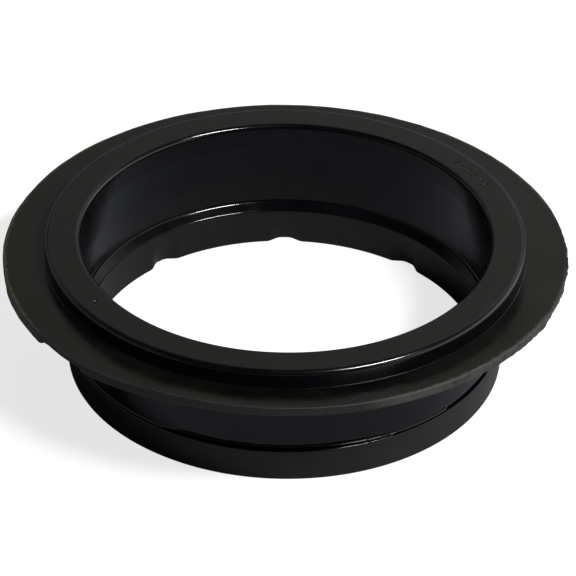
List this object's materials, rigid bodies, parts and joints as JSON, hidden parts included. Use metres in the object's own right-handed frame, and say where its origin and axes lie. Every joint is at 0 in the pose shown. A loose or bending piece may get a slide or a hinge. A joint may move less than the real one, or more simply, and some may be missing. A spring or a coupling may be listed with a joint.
{
  "type": "toilet flange",
  "caption": "Black rubber flange seal for a toilet outlet: a thin flange with a raised collar above it and a grooved, notched skirt below that presses into a drain pipe.",
  "frame": {"origin": "centre of the lower ring's bottom face, on the plane that the part stands on", "axes": "+Z along the bore, up through the collar; +Y points away from the viewer and passes through one of the notches"},
  "size_m": [0.132, 0.132, 0.0332],
  "materials": {
    "sleeve_rubber": "satin black moulded rubber, glossier on the bore and the skirt",
    "ring_rubber": "matte black moulded rubber"
  },
  "bodies": {
    "root": {"flange_sleeve": "sleeve_rubber", "lower_ring": "ring_rubber"}
  },
  "joints": []
}
